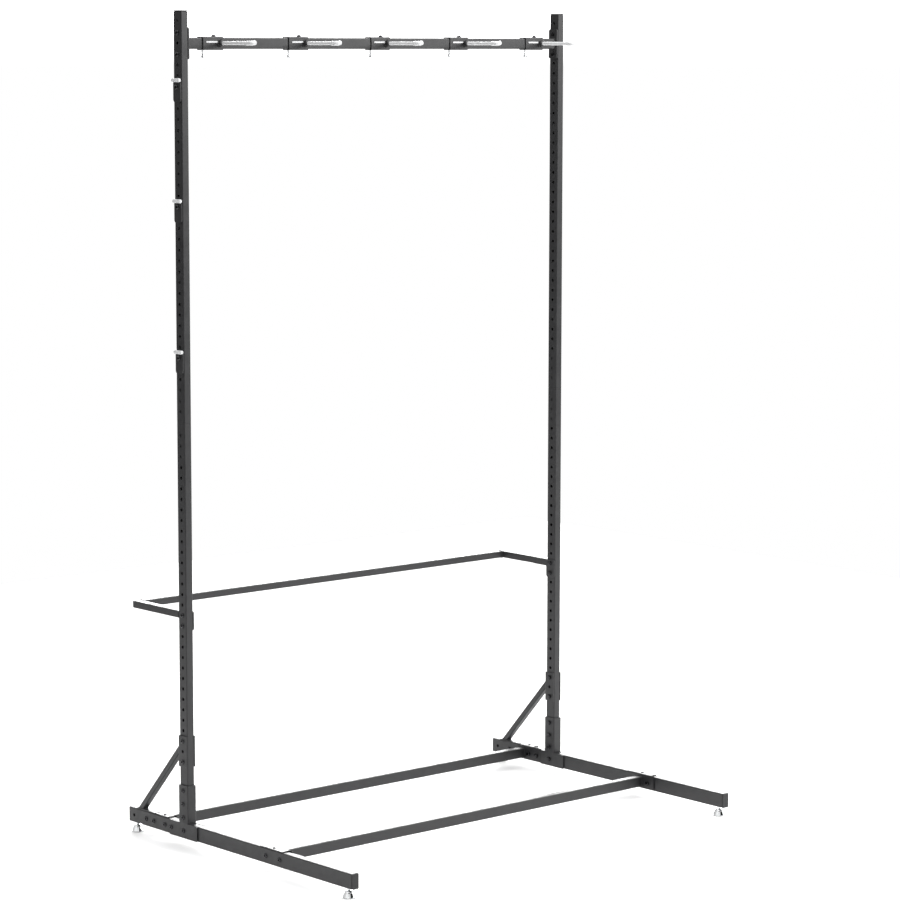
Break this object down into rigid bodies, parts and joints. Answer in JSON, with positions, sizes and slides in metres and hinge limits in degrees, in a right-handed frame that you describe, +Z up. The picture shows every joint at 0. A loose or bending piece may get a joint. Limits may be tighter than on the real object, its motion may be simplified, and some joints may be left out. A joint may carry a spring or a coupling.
{
  "type": "vertical bike stand",
  "caption": "Free-standing steel stand that hangs bikes upright by the front wheel from sliding beam hooks, with perforated uprights, a wheel rest, helmet hooks and levelling feet.",
  "frame": {"origin": "on the floor under the middle of the stand's box", "axes": "+X along the beam to the right seen from the hooks' side, +Y to the back, +Z up"},
  "size_m": [1.2138, 0.8486, 1.962],
  "materials": {
    "black_steel": "satin black powder coat",
    "black_plastic": "matt",
    "chrome": "bright plated",
    "zinc_steel": "zinc plated",
    "grey_coating": "dipped light grey vinyl",
    "grey_rubber": "matt light grey"
  },
  "bodies": {
    "frame": {"left_leg": "black_steel", "left_leg_cap_front": "black_plastic", "left_leg_cap_rear": "black_plastic", "left_socket": "black_steel", "left_upright_lower": "black_steel", "left_upright_upper": "black_steel", "left_upright_joiner": "black_steel", "left_top_cap": "black_plastic", "left_brace": "black_steel", "right_leg": "black_steel", "right_leg_cap_front": "black_plastic", "right_leg_cap_rear": "black_plastic", "right_socket": "black_steel", "right_upright_lower": "black_steel", "right_upright_upper": "black_steel", "right_upright_joiner": "black_steel", "right_top_cap": "black_plastic", "right_brace": "black_steel", "rear_cross_bar": "black_steel", "front_cross_bar": "black_steel", "top_beam": "black_steel"},
    "wheel_rest": {"left_rest_arm": "black_steel", "right_rest_arm": "black_steel", "rest_bar": "black_steel"},
    "hook_1": {"hook_1_sleeve": "black_steel", "hook_1_rod": "grey_coating"},
    "hook_1_lock": {"hook_1_lock_screw": "zinc_steel"},
    "hook_1_lock_wing": {"hook_1_lock_knob": "zinc_steel"},
    "hook_2": {"hook_2_sleeve": "black_steel", "hook_2_rod": "grey_coating"},
    "hook_2_lock": {"hook_2_lock_screw": "zinc_steel"},
    "hook_2_lock_wing": {"hook_2_lock_knob": "zinc_steel"},
    "hook_3": {"hook_3_sleeve": "black_steel", "hook_3_rod": "grey_coating"},
    "hook_3_lock": {"hook_3_lock_screw": "zinc_steel"},
    "hook_3_lock_wing": {"hook_3_lock_knob": "zinc_steel"},
    "hook_4": {"hook_4_sleeve": "black_steel", "hook_4_rod": "grey_coating"},
    "hook_4_lock": {"hook_4_lock_screw": "zinc_steel"},
    "hook_4_lock_wing": {"hook_4_lock_knob": "zinc_steel"},
    "hook_5": {"hook_5_sleeve": "black_steel", "hook_5_rod": "grey_coating"},
    "hook_5_lock": {"hook_5_lock_screw": "zinc_steel"},
    "hook_5_lock_wing": {"hook_5_lock_knob": "zinc_steel"},
    "left_front_foot_cup": {"left_front_foot_cup": "chrome"},
    "left_front_foot_stem": {"left_front_foot_stem": "chrome"},
    "left_rear_foot_cup": {"left_rear_foot_cup": "chrome"},
    "left_rear_foot_stem": {"left_rear_foot_stem": "chrome"},
    "right_front_foot_cup": {"right_front_foot_cup": "chrome"},
    "right_front_foot_stem": {"right_front_foot_stem": "chrome"},
    "right_rear_foot_cup": {"right_rear_foot_cup": "chrome"},
    "right_rear_foot_stem": {"right_rear_foot_stem": "chrome"},
    "helmet_hook_1": {"helmet_hook_1_strap": "black_steel", "helmet_hook_1_pad": "grey_rubber"},
    "helmet_hook_2": {"helmet_hook_2_strap": "black_steel", "helmet_hook_2_pad": "grey_rubber"},
    "helmet_hook_3": {"helmet_hook_3_strap": "black_steel", "helmet_hook_3_pad": "grey_rubber"}
  },
  "joints": [
    {"name": "wheel_rest_height", "type": "slide", "parent": "frame", "child": "wheel_rest", "axis": [0, 0, 1], "range_m": [-0.075, 0.075]},
    {"name": "hook_1_slide", "type": "slide", "parent": "frame", "child": "hook_1", "axis": [1, 0, 0], "range_m": [-0.038, 0.07]},
    {"name": "hook_1_lock_travel", "type": "slide", "parent": "hook_1", "child": "hook_1_lock", "axis": [0, 0, 1], "range_m": [-0.0024, 0]},
    {"name": "hook_1_lock_turn", "type": "hinge", "parent": "hook_1_lock", "child": "hook_1_lock_wing", "pos_m": [-0.52533, 0.20075, 1.8558], "axis": [0, 0, 1], "range_deg": [-1081, 0]},
    {"name": "hook_2_slide", "type": "slide", "parent": "frame", "child": "hook_2", "axis": [1, 0, 0], "range_m": [-0.07, 0.07]},
    {"name": "hook_2_lock_travel", "type": "slide", "parent": "hook_2", "child": "hook_2_lock", "axis": [0, 0, 1], "range_m": [-0.0024, 0]},
    {"name": "hook_2_lock_turn", "type": "hinge", "parent": "hook_2_lock", "child": "hook_2_lock_wing", "pos_m": [-0.27382, 0.20075, 1.8558], "axis": [0, 0, 1], "range_deg": [-1081, 0]},
    {"name": "hook_3_slide", "type": "slide", "parent": "frame", "child": "hook_3", "axis": [1, 0, 0], "range_m": [-0.07, 0.07]},
    {"name": "hook_3_lock_travel", "type": "slide", "parent": "hook_3", "child": "hook_3_lock", "axis": [0, 0, 1], "range_m": [-0.0024, 0]},
    {"name": "hook_3_lock_turn", "type": "hinge", "parent": "hook_3_lock", "child": "hook_3_lock_wing", "pos_m": [-0.02233, 0.20075, 1.8558], "axis": [0, 0, 1], "range_deg": [-1081, 0]},
    {"name": "hook_4_slide", "type": "slide", "parent": "frame", "child": "hook_4", "axis": [1, 0, 0], "range_m": [-0.07, 0.07]},
    {"name": "hook_4_lock_travel", "type": "slide", "parent": "hook_4", "child": "hook_4_lock", "axis": [0, 0, 1], "range_m": [-0.0024, 0]},
    {"name": "hook_4_lock_turn", "type": "hinge", "parent": "hook_4_lock", "child": "hook_4_lock_wing", "pos_m": [0.22917, 0.20075, 1.8558], "axis": [0, 0, 1], "range_deg": [-1081, 0]},
    {"name": "hook_5_slide", "type": "slide", "parent": "frame", "child": "hook_5", "axis": [1, 0, 0], "range_m": [-0.07, 0.038]},
    {"name": "hook_5_lock_travel", "type": "slide", "parent": "hook_5", "child": "hook_5_lock", "axis": [0, 0, 1], "range_m": [-0.0024, 0]},
    {"name": "hook_5_lock_turn", "type": "hinge", "parent": "hook_5_lock", "child": "hook_5_lock_wing", "pos_m": [0.48068, 0.20075, 1.8558], "axis": [0, 0, 1], "range_deg": [-1081, 0]},
    {"name": "left_front_foot_travel", "type": "slide", "parent": "frame", "child": "left_front_foot_cup", "axis": [0, 0, 1], "range_m": [-0.01, 0]},
    {"name": "left_front_foot_turn", "type": "hinge", "parent": "left_front_foot_cup", "child": "left_front_foot_stem", "pos_m": [-0.58732, -0.40225, 0.0225], "axis": [0, 0, 1], "range_deg": [-2881, 0]},
    {"name": "left_rear_foot_travel", "type": "slide", "parent": "frame", "child": "left_rear_foot_cup", "axis": [0, 0, 1], "range_m": [-0.01, 0]},
    {"name": "left_rear_foot_turn", "type": "hinge", "parent": "left_rear_foot_cup", "child": "left_rear_foot_stem", "pos_m": [-0.58732, 0.40225, 0.0225], "axis": [0, 0, 1], "range_deg": [-2881, 0]},
    {"name": "right_front_foot_travel", "type": "slide", "parent": "frame", "child": "right_front_foot_cup", "axis": [0, 0, 1], "range_m": [-0.01, 0]},
    {"name": "right_front_foot_turn", "type": "hinge", "parent": "right_front_foot_cup", "child": "right_front_foot_stem", "pos_m": [0.59067, -0.40225, 0.0225], "axis": [0, 0, 1], "range_deg": [-2881, 0]},
    {"name": "right_rear_foot_travel", "type": "slide", "parent": "frame", "child": "right_rear_foot_cup", "axis": [0, 0, 1], "range_m": [-0.01, 0]},
    {"name": "right_rear_foot_turn", "type": "hinge", "parent": "right_rear_foot_cup", "child": "right_rear_foot_stem", "pos_m": [0.59067, 0.40225, 0.0225], "axis": [0, 0, 1], "range_deg": [-2881, 0]},
    {"name": "helmet_hook_1_height", "type": "slide", "parent": "frame", "child": "helmet_hook_1", "axis": [0, 0, 1], "range_m": [-0.075, 0.025]},
    {"name": "helmet_hook_2_height", "type": "slide", "parent": "frame", "child": "helmet_hook_2", "axis": [0, 0, 1], "range_m": [-0.075, 0.075]},
    {"name": "helmet_hook_3_height", "type": "slide", "parent": "frame", "child": "helmet_hook_3", "axis": [0, 0, 1], "range_m": [-0.075, 0.075]}
  ],
  "couplings": [
    {"joint": "hook_1_lock_turn", "follows": "hook_1_lock_travel", "rad_per_m": 7854},
    {"joint": "hook_2_lock_turn", "follows": "hook_2_lock_travel", "rad_per_m": 7854},
    {"joint": "hook_3_lock_turn", "follows": "hook_3_lock_travel", "rad_per_m": 7854},
    {"joint": "hook_4_lock_turn", "follows": "hook_4_lock_travel", "rad_per_m": 7854},
    {"joint": "hook_5_lock_turn", "follows": "hook_5_lock_travel", "rad_per_m": 7854},
    {"joint": "left_front_foot_turn", "follows": "left_front_foot_travel", "rad_per_m": 5026.5},
    {"joint": "left_rear_foot_turn", "follows": "left_rear_foot_travel", "rad_per_m": 5026.5},
    {"joint": "right_front_foot_turn", "follows": "right_front_foot_travel", "rad_per_m": 5026.5},
    {"joint": "right_rear_foot_turn", "follows": "right_rear_foot_travel", "rad_per_m": 5026.5}
  ]
}
